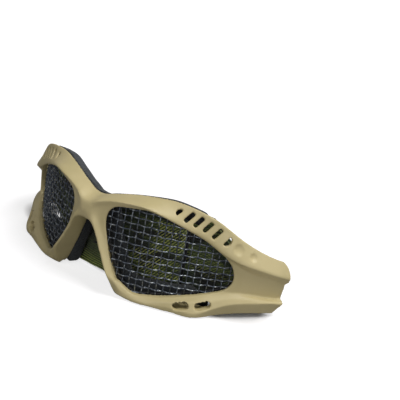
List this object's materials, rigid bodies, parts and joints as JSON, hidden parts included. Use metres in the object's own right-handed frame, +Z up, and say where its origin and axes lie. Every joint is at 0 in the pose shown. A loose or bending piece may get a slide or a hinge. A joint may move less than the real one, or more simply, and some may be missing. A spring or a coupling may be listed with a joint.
{
  "type": "mesh safety goggles",
  "caption": "Wraparound safety goggles: a one-piece moulded frame with slotted brow vents, woven wire lenses, a foam face seal and a wide elastic strap folded behind them.",
  "frame": {"origin": "centre of the bounding box's base, on the surface that the goggles stand on", "axes": "+X across the face towards the wearer's left, -Y out through the front of the lenses, +Z up"},
  "size_m": [0.1688, 0.0649, 0.0539],
  "materials": {
    "frame_plastic": "satin",
    "lens_wire": "satin black wire",
    "ring_plastic": "matte",
    "foam": "open-cell foam",
    "strap_webbing": "ribbed camouflage elastic",
    "slider_plastic": "matte"
  },
  "bodies": {
    "goggles": {"frame": "frame_plastic", "mesh_lens_left": "lens_wire", "mesh_lens_right": "lens_wire", "lens_ring_left": "ring_plastic", "lens_ring_right": "ring_plastic", "foam_brow": "foam", "foam_cheek_left": "foam", "foam_cheek_right": "foam", "strap_band": "strap_webbing"},
    "slider": {"strap_slider": "slider_plastic"}
  },
  "joints": [
    {"name": "slider_slide", "type": "slide", "parent": "goggles", "child": "slider", "axis": [0.934, 0.3572, 0], "range_m": [-0.005, 0.01]}
  ]
}
